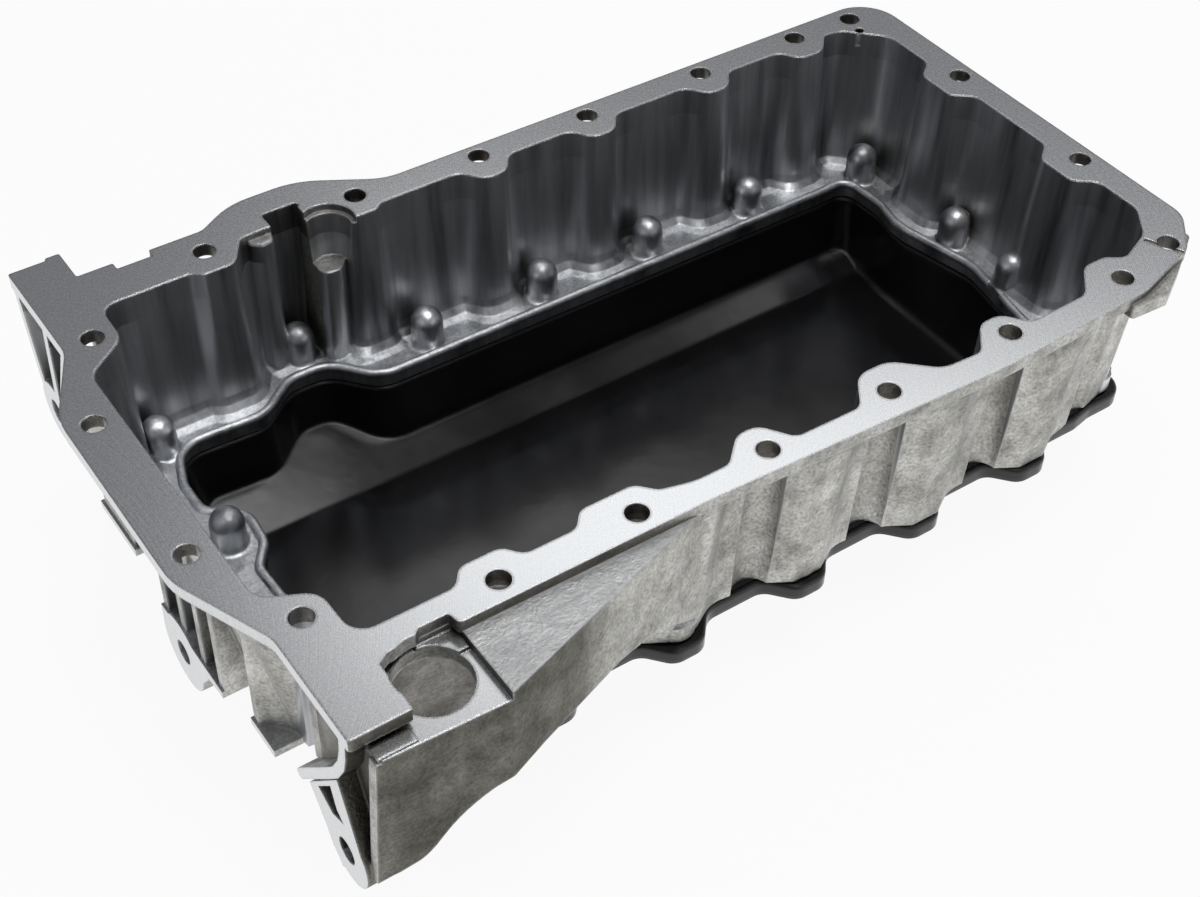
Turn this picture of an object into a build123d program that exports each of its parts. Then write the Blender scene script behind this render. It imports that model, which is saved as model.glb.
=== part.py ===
from build123d import *
import math
import os

# Engine oil pan in two halves: a cast aluminium upper half with a corrugated wall,
# and a pressed steel lower pan that is bolted to it from below.
# Millimetres. +X runs along the engine away from the gearbox, +Z points up to the block.
# The origin is the middle of the four end bolts, on the face that meets the block.

os.makedirs("parts", exist_ok=True)

# Heights, measured down from the block face
flange_thick = 5.5
casting_height = 77.0
ledge_thick = 7.0
seal_gap = 1.0
sheet_thick = 1.5
skirt_depth = 5.0
bowl_depth = 32.0
far_slope = 18.4
far_crease_y = 55.5

# Walls of the casting
wall_draft_outside = 5.5
wall_draft_inside = 2.5
left_wall_lean = 8.0
floor_fillet = 7.0
flange_overhang = 2.0
column_depth = 8.5
flange_near_y = -113.0
flange_bow = 5.0
bow_x = 88.0
bow_reach = 130.0

# Bolts that hold the pan to the block
block_hole = 9.0
block_head_recess = 17.0
end_spacing_x = 410.0
end_spacing_y = 75.0
near_row_y = -104.0
far_row_y = 101.5
near_row_x = [-125.0, -69.5, -13.0, 43.0, 103.0, 162.5]
far_row_x = [-5.5, 49.0, 109.5, 162.5]
odd_block_bolts = [
    (-186.5, 81.0), (-186.5, -83.0), (194.0, -98.0), (194.0, 100.5), (-62.0, 105.5), (-129.0, 105.5),
]
dowel_hole = 4.0
dowel_place = (191.5, 90.5)

# Bolts that hold the steel pan to the casting
pan_bolt_size = 6.0
pan_bolt_gap = 0.1
pan_bolt_reach = 14.0
pan_bolt_hex = 10.0
pan_bolt_flange = 12.0
pan_bolt_head = 6.0
pan_near_y = -99.0
pan_far_y = 83.5
pan_left_x = -168.0
pan_near_x = [-105.0, -47.0, 11.0, 69.0, 127.0]
pan_far_x = [-44.3, 13.9, 70.5, 127.0]
pan_left_y = [-89.0, -36.0, 23.0, 83.5]
pan_odd_bolts = [(187.8, 74.0), (191.5, 13.0), (191.0, -25.0), (182.0, -86.0), (-95.0, 104.0)]
dome_radius = 6.9
dome_height = 17.7
dome_foot = 2.0
rim_lobe = 12.0
rim_hole_gap = 0.5

# Gearbox end
gearbox_face_x = -198.5
lug_plate = 7.5
lug_hole = 10.5
near_lug = (-124.0, -70.5)
mid_lug = (9.0, -101.0)
far_lug = (109.0, -53.0)
lug_radius = 14.0
strut_width = 4.2
bracket_rib = 4.0

# Starter pocket and gusset beside the near wall
pocket_drop = 8.0
gusset_drop = 4.5
box_wall = 4.5
box_roof = 5.0
box_depth = 69.5
box_near_y = -141.5
web_thick = 3.0
starter_hole = 28.0
starter_place = (-162.0, -123.3)

# Drain
drain_size = 12.0
drain_gap = 0.15
drain_place = (-149.0, 0.0)
drain_nut_hex = 17.0
drain_nut_thick = 8.0
drain_head_hex = 17.0
drain_head_thick = 7.5
drain_washer_size = 21.0
drain_washer_thick = 1.5

# Oil return channel in the far wall
channel_x = (-100.0, -84.0)
channel_back = 114.5
channel_floor = ledge_thick - casting_height
step_drop = 3.0
tongue_low = -23.0
scallop_place = (-79.5, 96.5)
scallop_radius = 9.9
scallop_foot = 7.8
scallop_step = 1.6


# Rounded outlines: each corner is (x, y, radius), listed counter-clockwise


def shifted_corners(corners, inset):
    count = len(corners)
    moved = []
    for i in range(count):
        ax, ay, _ = corners[i - 1]
        bx, by, radius = corners[i]
        cx, cy, _ = corners[(i + 1) % count]
        in_len = math.hypot(bx - ax, by - ay)
        out_len = math.hypot(cx - bx, cy - by)
        ux, uy = (bx - ax) / in_len, (by - ay) / in_len
        vx, vy = (cx - bx) / out_len, (cy - by) / out_len
        turn = ux * vy - uy * vx
        dot = ux * vx + uy * vy
        nx, ny = -uy - vy, ux + vx
        scale = inset / (1.0 + dot)
        grown = radius - inset if turn > 0 else radius + inset
        moved.append((bx + nx * scale, by + ny * scale, max(grown, 0.6)))
    return moved


def rounded_wire(corners, z=0.0):
    count = len(corners)
    arcs = []
    for i in range(count):
        ax, ay, _ = corners[i - 1]
        bx, by, radius = corners[i]
        cx, cy, _ = corners[(i + 1) % count]
        in_len = math.hypot(bx - ax, by - ay)
        out_len = math.hypot(cx - bx, cy - by)
        ux, uy = (bx - ax) / in_len, (by - ay) / in_len
        vx, vy = (cx - bx) / out_len, (cy - by) / out_len
        half = 0.5 * math.acos(max(-1.0, min(1.0, ux * vx + uy * vy)))
        reach = min(radius * math.tan(half), 0.47 * in_len, 0.47 * out_len)
        true_radius = reach / math.tan(half)
        bulge = true_radius / math.cos(half) - true_radius
        wx, wy = vx - ux, vy - uy
        length = math.hypot(wx, wy)
        start = (bx - ux * reach, by - uy * reach, z)
        middle = (bx + wx / length * bulge, by + wy / length * bulge, z)
        end = (bx + vx * reach, by + vy * reach, z)
        arcs.append((start, middle, end))
    edges = []
    for i in range(count):
        start, middle, end = arcs[i]
        edges.append(ThreePointArc(start, middle, end))
        edges.append(Line(end, arcs[(i + 1) % count][0]))
    return Wire(edges)


def plate(corners, z_low, z_high, inset=0.0):
    face = Face(rounded_wire(shifted_corners(corners, inset), z_low))
    return extrude(face, z_high - z_low, dir=(0, 0, 1))


def stacked(corners, levels):
    wires = [rounded_wire(shifted_corners(corners, inset), z) for z, inset in levels]
    return Solid.make_loft(wires, ruled=True)


def lobe(place, base, peak, half_top, half_base, axis, forward, radius):
    steps = [(-half_base, base), (-half_top, peak), (half_top, peak), (half_base, base)]
    points = [(place + side * forward, height) for side, height in steps]
    if axis == "x":
        return [(along, height, radius) for along, height in points]
    return [(height, along, radius) for along, height in points]


# Outlines of the casting


def near_edge(x):
    return flange_near_y - flange_bow * max(0.0, 1.0 - abs(x - bow_x) / bow_reach)


def flange_outline():
    left = gearbox_face_x
    near = flange_near_y
    return [
        (bow_x - bow_reach, near, 150.0), (bow_x, near_edge(bow_x), 150.0), (165.0, near_edge(165.0), 30.0),
        (198.0, -105.0, 12.0), (213.0, -88.0, 14.0), (213.0, 109.0, 18.0),
        (-46.0, 109.0, 25.0), (-78.0, 127.5, 38.0),
        (-108.0, 127.5, 38.0), (-124.0, 118.0, 8.0), (-147.0, 118.0, 0.8), (-147.0, 114.0, 0.8),
        (-162.0, 114.0, 0.8), (-162.0, 118.0, 0.8), (-177.0, 118.0, 1.0), (-177.0, 135.0, 1.0),
        (-182.5, 135.0, 0.8), (-183.5, 133.5, 0.8), (left, 133.5, 1.0), (left, 79.0, 14.0),
        (-215.0, 46.0, 30.0), (-215.0, -46.0, 30.0), (left, -86.0, 14.0),
        (left, -135.0, 1.5), (-175.3, -134.8, 1.0), (-175.2, -113.4, 1.2), (-171.0, -111.0, 2.0),
        (-160.0, -109.6, 0.8), (-157.6, -107.5, 1.0), (-146.5, -107.5, 1.0), (-145.3, near, 2.0),
    ]


def cavity_outline():
    near = -99.0
    far = 96.0
    right = 200.0
    left = -195.5
    corners = [(left, -67.0, 9.0), (-176.5, -76.5, 9.0), (-176.0, near, 8.0)]
    corners += lobe(near_row_x[0], near, near + 7.0, 8.0, 13.5, "x", 1, 6.0)
    corners += lobe(near_row_x[1] - 4.5, near, near + 6.8, 11.0, 17.0, "x", 1, 6.0)
    corners += [(-44.0, -102.5, 30.0), (-29.0, -102.5, 6.0), (-18.0, -92.0, 9.0), (-9.0, -92.0, 9.0)]
    corners += [(-0.5, -104.5, 6.0), (28.5, -105.0, 6.0), (38.5, -91.0, 10.0), (53.0, -91.0, 12.0)]
    corners += [(68.0, -105.5, 12.0), (86.0, -106.5, 6.0), (96.5, -94.0, 8.0), (106.5, -94.0, 8.0)]
    corners += [(114.0, -104.0, 6.0), (143.0, -103.5, 8.0), (154.5, near + 8.5, 8.0), (165.5, near + 8.5, 7.0)]
    corners += [(173.0, near + 3.5, 6.0), (190.0, near + 10.5, 10.0), (right, near + 24.0, 9.0)]
    corners += lobe(-end_spacing_y / 2, right, right - 9.0, 9.0, 16.0, "y", 1, 6.0)
    corners += lobe(end_spacing_y / 2, right, right - 9.0, 9.0, 16.0, "y", 1, 6.0)
    corners += [(right, 79.0, 11.0), (184.0, far - 1.0, 9.0), (175.5, far, 4.0)]
    corners += lobe(far_row_x[3] - 1.5, far, far - 9.5, 6.0, 12.5, "x", -1, 8.0)[1:]
    for x in reversed(far_row_x[:3]):
        corners += lobe(x - 0.8, far, far - 9.5, 5.5, 12.0, "x", -1, 8.0)
    corners += [(-55.0, far, 6.0), (-59.0, far - 3.0, 4.0), (-70.5, far - 3.0, 4.0)]
    corners += [(-72.5, far + 10.5, 12.0), (-113.5, far + 9.5, 5.0), (-122.0, far - 3.5, 6.0)]
    corners += [(-135.0, far - 3.5, 4.0), (-140.0, far, 5.0)]
    corners += [(-177.0, far, 7.0), (-177.5, 75.0, 10.0), (left, 62.0, 9.0)]
    return corners


def cavity_foot_outline():
    corners = []
    for x, y, radius in cavity_outline():
        if x < -190.0:
            x += left_wall_lean
        if y < -85.0 and -150.0 < x < 170.0:
            y = min(max(y, -100.0), -94.5)
        corners.append((x, y, radius))
    return corners


def wall_outline():
    near = near_row_y + 1.0
    right = 211.0
    far = 107.0
    left = -201.0
    corners = [(left, -72.0, 10.0), (-183.0, -81.0, 8.0), (-183.0, near, 8.0)]
    for x in pan_near_x:
        edge = near_edge(x)
        corners += lobe(x, edge + column_depth, edge + flange_overhang, 8.0, 19.0, "x", 1, 8.0)
    corners += [(152.0, near - 4.0, 12.0), (185.0, near + 4.0, 12.0), (right, near + 22.0, 14.0)]
    corners += lobe(-end_spacing_y / 2, right, right - 7.0, 9.0, 16.0, "y", 1, 6.0)
    corners += lobe(end_spacing_y / 2, right, right - 7.0, 9.0, 16.0, "y", 1, 6.0)
    corners += [(right, far - 14.0, 8.0), (right - 14.0, far, 12.0)]
    for x in reversed(far_row_x):
        corners += lobe(x, far, far - 6.0, 8.0, 15.0, "x", -1, 6.0)
    corners += [(-46.0, far, 25.0), (-78.0, far + 18.0, 34.0)]
    corners += [(-108.0, far + 18.0, 34.0), (-124.0, far - 2.0, 10.0)]
    corners += [(-183.5, far - 4.0, 8.0), (-184.0, 80.0, 10.0), (left, 67.0, 10.0)]
    return corners


def leaning(corners, lean):
    limit = -188.0
    return [(x + lean if x < limit else x, y, r) for x, y, r in corners]


def mouth_outline():
    near = pan_near_y + 9.2
    far = pan_far_y - 9.0
    left = pan_left_x - 1.5
    return [
        (left + 12.0, near, 14.0), (176.0, near, 18.0), (180.0, -45.0, 25.0), (187.0, -6.0, 24.0),
        (178.0, 34.0, 30.0), (182.0, far - 22.5, 25.0), (180.5, far + 1.0, 14.0), (165.0, far, 12.0),
        (-72.0, far, 16.0), (-88.0, far + 19.0, 16.0), (-106.0, far + 19.0, 13.0),
        (-124.0, far + 5.5, 16.0), (-162.0, far + 7.5, 15.0), (left, far - 14.0, 14.0),
        (left, 44.0, 8.0), (-155.5, 32.0, 8.0), (-157.0, 16.0, 9.0), (-165.0, 5.0, 8.0),
        (-164.5, -14.0, 8.0), (-157.5, -26.0, 7.0), (-157.5, -46.0, 7.0), (-161.0, -60.0, 10.0),
    ]


def bowl_floor_outline():
    near = pan_near_y + 17.0
    far = pan_far_y - 13.0
    left = pan_left_x + 7.0
    return [
        (left + 3.0, near, 16.0), (170.0, near, 20.0), (176.5, -45.0, 25.0), (177.0, -6.0, 24.0),
        (177.0, 34.0, 30.0), (179.5, far - 18.5, 25.0), (178.0, far + 1.0, 14.0), (163.0, far, 20.0),
        (-73.0, far, 20.0), (-90.0, far + 19.0, 16.0), (-104.5, far + 19.0, 16.0),
        (-122.0, far + 6.5, 16.0), (-158.0, far + 8.0, 14.0), (left, far - 12.0, 12.0),
        (left, 44.0, 10.0), (left + 3.0, 32.0, 12.0), (left + 3.0, 16.0, 12.0), (left, 5.0, 12.0),
        (left, -14.0, 12.0), (left + 3.0, -26.0, 12.0), (left + 3.0, -46.0, 12.0), (left + 1.0, -60.0, 12.0),
    ]


def rim_outline():
    near = near_row_y + 4.0
    far = pan_far_y + 3.0
    right = 194.0
    left = pan_left_x - 4.5
    corners = [(left - 7.5, near, 11.0)]
    for x in pan_near_x:
        corners += lobe(x, near, pan_near_y - rim_lobe, 6.5, 16.0, "x", 1, 8.0)
    corners += [(162.0, near, 10.0), (172.0, near + 2.0, 8.0), (right, near + 2.0, 11.0)]
    corners += [(right, -52.0, 9.0), (201.5, -38.0, 9.0), (201.5, 25.0, 9.0)]
    corners += [(right + 2.0, 36.0, 9.0), (right + 2.0, 58.0, 9.0)]
    corners += [(right + 4.0, 86.0, 11.0), (173.0, far + 1.0, 9.0), (163.0, far, 10.0)]
    for x in reversed(pan_far_x):
        corners += lobe(x, far, pan_far_y + rim_lobe, 6.5, 16.0, "x", -1, 8.0)
    corners += [(-70.0, far, 12.0), (-80.0, 117.0, 14.0), (-108.0, 117.0, 14.0), (-126.0, 94.0, 12.0)]
    corners += [(left - 6.5, 95.0, 11.0), (left - 6.5, 72.0, 6.0), (left, 62.0, 6.0), (left, 42.0, 6.0)]
    corners += [(left - 7.5, 33.0, 6.0), (left - 7.5, 16.0, 6.0), (left, 6.0, 6.0), (left, -20.0, 6.0)]
    corners += [(left - 7.5, -29.0, 6.0), (left - 7.5, -44.0, 6.0), (left, -54.0, 6.0), (left, -72.0, 6.0)]
    corners += [(left - 7.5, -80.0, 6.0)]
    return corners


# Places of the bolts


def block_bolts():
    ends = [(sx * end_spacing_x / 2, sy * end_spacing_y / 2) for sx in (-1, 1) for sy in (-1, 1)]
    near = [(x, near_row_y) for x in near_row_x]
    far = [(x, far_row_y) for x in far_row_x]
    return ends + near + far + odd_block_bolts


def pan_bolts():
    near = [(x, pan_near_y) for x in pan_near_x]
    far = [(x, pan_far_y) for x in pan_far_x]
    left = [(pan_left_x, y) for y in pan_left_y]
    return near + far + left + pan_odd_bolts


def upright(radius, z_low, z_high, place):
    cylinder = Cylinder(radius, z_high - z_low, align=(Align.CENTER, Align.CENTER, Align.MIN))
    return Pos(place[0], place[1], z_low) * cylinder


def hexagon(across_flats, z_low, z_high, place):
    sketch = RegularPolygon(across_flats / 2, 6, major_radius=False, rotation=30)
    return Pos(place[0], place[1], z_low) * extrude(sketch, z_high - z_low)


# Parts of the casting


def blind_boss(place):
    ledge = ledge_thick - casting_height
    top = ledge + dome_height
    side = dome_radius
    with BuildPart() as boss:
        with BuildSketch(Plane.XZ):
            with BuildLine():
                base = (0.0, -casting_height)
                Polyline(base, (side + dome_foot, -casting_height), (side + dome_foot, ledge))
                RadiusArc((side + dome_foot, ledge), (side, ledge + dome_foot), dome_foot)
                Line((side, ledge + dome_foot), (side, top - side))
                RadiusArc((side, top - side), (0.0, top), -side)
                Line((0.0, top), base)
            make_face()
        revolve(axis=Axis.Z)
    return Pos(place[0], place[1], 0) * boss.part


def near_box():
    left = gearbox_face_x + lug_plate
    outer = [
        (left, box_near_y, 1.0), (-144.5, box_near_y - 2.0, 3.0), (-47.0, -112.0, 1.0),
        (-47.0, -100.0, 1.0), (left, -100.0, 1.0),
    ]
    inner = [
        (left - 2.0, box_near_y + box_wall, 0.6), (-145.0, box_near_y - 2.0 + box_wall, 3.0),
        (-58.0, -112.0 + box_wall, 1.0),
        (-58.0, -97.0, 1.0), (left - 2.0, -97.0, 0.6),
    ]
    body = plate(outer, -box_depth, -gusset_drop)
    body -= plate(inner, -box_depth - 1.0, -pocket_drop - box_roof)
    pocket = [(left - 1.0, -145.0, 0.6), (-144.5, -145.0, 0.6), (-144.5, -108.0, 0.6), (left - 1.0, -108.0, 0.6)]
    body -= plate(pocket, -pocket_drop, 0.0)
    body += Pos(-152.5, -112.5, -pocket_drop + 0.1) * Box(15.0, 11.0, 2.2)
    body += Pos(-184.8, -138.0, -pocket_drop) * Box(14.5, 6.0, 1.4)
    with BuildPart() as sweep_cut:
        with BuildSketch(Plane.XZ):
            with BuildLine():
                low = -74.0
                Polyline((-188.0, low), (-188.0, -69.5), (-181.0, -68.5))
                Spline((-181.0, -68.5), (-170.0, -59.6), (-151.6, -48.8), tangents=((1.0, 0.3), (1.0, 0.3)))
                Polyline((-151.6, -48.8), (-129.7, -45.5), (-90.0, -42.5), (-70.0, -46.0))
                Polyline((-70.0, -46.0), (-40.0, -66.0), (-40.0, low), (-188.0, low))
            make_face()
        extrude(amount=160.0)
    body -= sweep_cut.part
    return body


def strut(start, end, width):
    run = math.hypot(end[0] - start[0], end[1] - start[1])
    angle = math.degrees(math.atan2(end[1] - start[1], end[0] - start[0]))
    middle = ((start[0] + end[0]) / 2, (start[1] + end[1]) / 2)
    return Pos(middle[0], middle[1]) * Rot(0, 0, angle) * SlotCenterToCenter(run, width)


def face_plate(sketch, thick=lug_plate):
    plane = Plane(origin=(gearbox_face_x, 0, 0), x_dir=(0, 1, 0), z_dir=(1, 0, 0))
    return extrude(plane * sketch, thick)


def near_lug_frame():
    y, z = near_lug
    strip = [
        (y - 6.5, -3.0), (y - 5.7, -12.0), (y - 3.6, -20.0), (y + 1.4, -29.0),
        (y + 9.0, -38.0), (y + 31.5, z + 7.0),
    ]
    sketch = Pos(y, z) * Circle(lug_radius)
    for start, end in zip(strip, strip[1:]):
        sketch += strut(start, end, strut_width)
    web = [(y + 24, z + 11), (y + 5, z - 15), (y - 13.6, z + 1), (y - 5.5, z + 22), (y + 1, z + 38)]
    window = [(y + 17, z + 16.5), (y + 7, z + 28), (y + 4, z + 18.5), (y, z + 15), (y + 8, z + 12)]
    sketch += make_face(Polyline(*web, close=True))
    sketch -= make_face(Polyline(*window, close=True))
    back = [(y + 42, -6), (y + 42, z + 9), (y + 22, z + 9), (y + 6, z - 12), (y - 6, z - 11), (y - 15.5, z + 2)]
    back += [(y - 15.5, -pocket_drop - 1.0)]
    web = Pos(lug_plate, 0, 0) * face_plate(make_face(Polyline(*back, close=True)), web_thick)
    with BuildPart() as lean:
        with BuildSketch(Plane.XZ.offset(-box_near_y)):
            left = gearbox_face_x + lug_plate
            Polygon((left + 1, -9), (left - 2, -9), (left - 5.5, -box_depth), (left + 1, -box_depth), align=None)
        extrude(amount=-box_wall)
    return face_plate(sketch) + web + lean.part


def mid_lug_frame():
    y, z = mid_lug
    sketch = Pos(y, z) * Circle(lug_radius + 2.5)
    web = [(y - 36, -88), (y + 16, -88), (y + 16.4, z), (y - 12, z - 8), (y - 24, -93), (y - 36, -91)]
    sketch += make_face(Polyline(*web, close=True))
    body = face_plate(sketch)
    ledge_x = 12.5
    with BuildPart() as shelf:
        with Locations((gearbox_face_x + ledge_x / 2, y - 10.0, -90.0)):
            Box(ledge_x, 52.0, 3.0)
    body += shelf.part
    for rib_y in (-25.0, -10.0, 6.0, 22.0):
        body += bracket(rib_y, bracket_rib, -89.0, 15.0)
    return body


def bracket(y, width, z_low, depth):
    box = Box(depth, width, -z_low - flange_thick + 1.0, align=(Align.MIN, Align.CENTER, Align.MIN))
    return Pos(gearbox_face_x + 1.0, y, z_low) * box


def tower(y_low, y_high, depth):
    width = y_high - y_low
    middle = (y_low + y_high) / 2
    foot = 3.5
    floor_z = -casting_height - 1.5
    body = bracket(middle, width - 4.0, floor_z + foot, depth - 3.0)
    box = Box(depth, width, foot, align=(Align.MIN, Align.CENTER, Align.MIN))
    return body + Pos(gearbox_face_x, middle, floor_z) * box


def near_tower():
    front = gearbox_face_x + 1.0
    floor_z = -casting_height - 1.5
    outline = [
        (front, -57.5, 0.8), (front + 4.0, -60.5, 5.0), (front + 9.5, -67.0, 9.0), (front + 11.5, -80.0, 3.0),
        (front + 18.0, -80.0, 1.0), (front + 18.0, -53.5, 1.0), (front, -53.5, 0.8),
    ]
    body = plate(outline, -casting_height, -1.0)
    foot = Box(15.5, 18.0, 3.5, align=(Align.MIN, Align.CENTER, Align.MIN))
    return body + Pos(gearbox_face_x, -62.0, floor_z) * foot


def far_lug_frame():
    y, z = far_lug
    sketch = Pos(y, z) * Circle(lug_radius - 1.0)
    sketch += strut((y - 27.0, -4.0), (y - 9.0, z + 9.0), strut_width)
    sketch += strut((y - 9.0, -3.0), (y - 5.0, z + 12.0), strut_width)
    sketch += strut((y + 19.0, -3.0), (y + 10.0, z + 8.0), strut_width)
    return face_plate(sketch)


def upper_casting():
    bottom = -casting_height
    ledge = bottom + ledge_thick
    body = plate(flange_outline(), -flange_thick, 0.0)
    top_wires = rounded_wire(shifted_corners(wall_outline(), 0.0), -1.0)
    foot_corners = leaning(shifted_corners(wall_outline(), wall_draft_outside), left_wall_lean)
    low_wires = rounded_wire(foot_corners, bottom)
    body += Solid.make_loft([top_wires, low_wires], ruled=True)
    body += near_box()
    body += [near_lug_frame(), mid_lug_frame(), far_lug_frame(), corner_tab()]
    body += [near_tower(), tower(44.0, 76.0, 14.0)]
    slope = wall_draft_inside / -ledge
    deep = wall_draft_inside
    fillet = floor_fillet
    levels = [
        (ledge + fillet, slope * (-ledge - fillet)), (ledge + 0.5 * fillet, deep + 0.13 * fillet),
        (ledge + 0.13 * fillet, deep + 0.5 * fillet), (ledge, deep + fillet),
    ]
    wires = [rounded_wire(shifted_corners(cavity_outline(), -slope), 1.0)]
    wires += [rounded_wire(shifted_corners(cavity_foot_outline(), inset), z) for z, inset in levels]
    body -= Solid.make_loft(wires, ruled=True)
    body -= channel_slot()
    body += [blind_boss(place) for place in pan_bolts()] + [channel_tongue(), channel_column()]
    cuts = [plate(mouth_outline(), bottom - 1.0, ledge + 1.0), scar_groove()]
    cuts += [channel_scallop(), upright(scallop_radius + scallop_step, -step_drop, 1.0, scallop_place)]
    for place in block_bolts():
        cuts.append(upright(block_hole / 2, -flange_thick - 1.0, 1.0, place))
        cuts.append(upright(block_head_recess / 2, bottom - 1.0, -flange_thick, place))
    for place in pan_bolts():
        reach = pan_bolt_reach + 2.0
        cuts.append(upright(pan_bolt_size / 2 + pan_bolt_gap, bottom - 1.0, bottom + reach, place))
    cuts.append(upright(dowel_hole / 2, -flange_thick - 1.0, 1.0, dowel_place))
    cuts.append(upright(starter_hole / 2, -pocket_drop - box_roof - 1.0, 1.0, starter_place))
    for y, z in (near_lug, mid_lug, far_lug):
        drill = Cylinder(lug_hole / 2, 4 * lug_plate, rotation=(0, 90, 0))
        cuts.append(Pos(gearbox_face_x, y, z) * drill)
    return body - cuts


def channel_slot():
    left, right = channel_x
    slot = [(left, 98.0, 1.0), (right, 98.0, 1.0), (right, channel_back, 2.0), (left, channel_back, 2.0)]
    return plate(slot, channel_floor, 1.0)


def channel_tongue():
    right = channel_x[1]
    tongue = [
        (right - 1.0, 97.0, 3.0), (right + 0.5, 93.5, 4.0), (right + 7.0, 93.0, 5.0),
        (right + 12.5, 99.0, 4.0), (right + 12.5, 112.0, 1.0), (right - 1.0, 112.0, 1.0),
    ]
    return stacked(tongue, [(channel_floor, -0.4), (tongue_low, 0.0), (0.0, 0.0)])


def channel_scallop():
    height = -tongue_low
    scallop = Cone(scallop_foot, scallop_radius, height, align=(Align.CENTER, Align.CENTER, Align.MIN))
    return Pos(scallop_place[0], scallop_place[1], tongue_low) * scallop


def channel_column():
    column = [
        (-110.9, 103.9, 2.5), (-106.9, 100.3, 3.0), (-101.1, 101.5, 3.0),
        (-99.4, 107.4, 2.0), (-99.8, 116.0, 1.0), (-111.0, 116.0, 1.0),
    ]
    return stacked(column, [(channel_floor, -0.8), (-step_drop - 1.0, 0.0), (-step_drop, 0.6)])


def corner_tab():
    outline = [
        (156.5, -117.5, 1.5), (174.0, -118.5, 2.0), (191.0, -108.5, 4.0),
        (208.0, -97.5, 3.0), (208.0, -88.0, 1.0), (156.5, -104.0, 1.0),
    ]
    return plate(outline, -flange_thick - 3.5, -step_drop)


def scar_groove():
    return Pos(191.5, -100.0, 0) * Rot(0, 0, -64) * Box(19.0, 1.8, 1.6)


# Steel lower pan


def lower_pan():
    top = -casting_height - seal_gap
    under = top - sheet_thick
    floor_z = top - bowl_depth
    rim = rim_outline()
    body = stacked(rim, [(top, 1.2), (top - 0.5, 0.3), (top - 1.3, 0.0), (under - skirt_depth, 0.0)])
    body -= plate(rim, under - skirt_depth - 1.0, under, sheet_thick)
    body += bowl(top - 0.5, floor_z, sheet_thick)
    body -= bowl(top + 1.0, floor_z, 0.0)
    holes = [upright(pan_bolt_size / 2 + rim_hole_gap, under - 1.0, top + 1.0, place) for place in pan_bolts()]
    holes.append(upright(drain_size / 2 + drain_gap, floor_z - 2 * sheet_thick, floor_z + 1.0, drain_place))
    return body - holes


def bowl(z_top, floor_z, grow):
    mouth = mouth_outline()
    floor = bowl_floor_outline()
    bend = 3.5
    low = floor_z - grow
    wires = [
        rounded_wire(shifted_corners(mouth, -grow), z_top),
        rounded_wire(shifted_corners(mouth, 0.7 - grow), z_top - 3.0),
        rounded_wire(shifted_corners(floor, -grow), low + bend),
        rounded_wire(shifted_corners(floor, 0.3 * bend - grow), low + 0.3 * bend),
        rounded_wire(shifted_corners(floor, bend - grow), low),
    ]
    rise = math.tan(math.radians(far_slope))
    shift = grow / math.cos(math.radians(far_slope)) - grow
    crease = far_crease_y + shift / rise
    reach = 80.0
    with BuildPart() as under_slope:
        with BuildSketch(Plane.YZ.offset(-210.0)):
            with BuildLine():
                foot = (crease, low)
                Polyline(foot, (crease + reach, low + reach * rise), (crease + reach, low - 20.0))
                Polyline((crease + reach, low - 20.0), (crease, low - 20.0), foot)
            make_face()
        extrude(amount=420.0)
    return Solid.make_loft(wires, ruled=True) - under_slope.part


def sealant_bead():
    bottom = -casting_height
    foot = leaning(shifted_corners(wall_outline(), wall_draft_outside + 1.0), left_wall_lean)
    body = plate(foot, bottom - seal_gap, bottom)
    body &= plate(rim_outline(), bottom - seal_gap, bottom, 2.5)
    body -= plate(mouth_outline(), bottom - seal_gap - 1.0, bottom + 1.0, -2.0)
    hole = pan_bolt_size / 2 + 1.0
    return body - [upright(hole, bottom - seal_gap - 1.0, bottom + 1.0, place) for place in pan_bolts()]


def pan_bolt(place):
    seat = -casting_height - seal_gap - sheet_thick
    tip = -casting_height + pan_bolt_reach
    washer_thick = 1.4
    body = upright(pan_bolt_size / 2, seat, tip, place)
    body = chamfer(body.edges().group_by(Axis.Z)[-1], 0.8)
    body += upright(pan_bolt_flange / 2, seat - washer_thick, seat, place)
    body += hexagon(pan_bolt_hex, seat - pan_bolt_head, seat, place)
    return body


# Drain pieces


def drain_nut():
    floor_z = -casting_height - seal_gap - bowl_depth
    body = hexagon(drain_nut_hex, floor_z, floor_z + drain_nut_thick, drain_place)
    body -= upright(drain_size / 2 + drain_gap, floor_z - 1.0, floor_z + drain_nut_thick + 1.0, drain_place)
    return body


def drain_washer():
    top = -casting_height - seal_gap - bowl_depth - sheet_thick
    body = upright(drain_washer_size / 2, top - drain_washer_thick, top, drain_place)
    body -= upright(drain_size / 2 + 2 * drain_gap, top - drain_washer_thick - 1.0, top + 1.0, drain_place)
    return body


def drain_plug():
    seat = -casting_height - seal_gap - bowl_depth - sheet_thick - drain_washer_thick
    reach = drain_washer_thick + sheet_thick + drain_nut_thick - 1.0
    body = upright(drain_size / 2, seat, seat + reach, drain_place)
    body = chamfer(body.edges().group_by(Axis.Z)[-1], 1.0)
    body += upright(drain_washer_size / 2 - 1.0, seat - 2.0, seat, drain_place)
    body += hexagon(drain_head_hex, seat - drain_head_thick, seat, drain_place)
    return body


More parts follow.
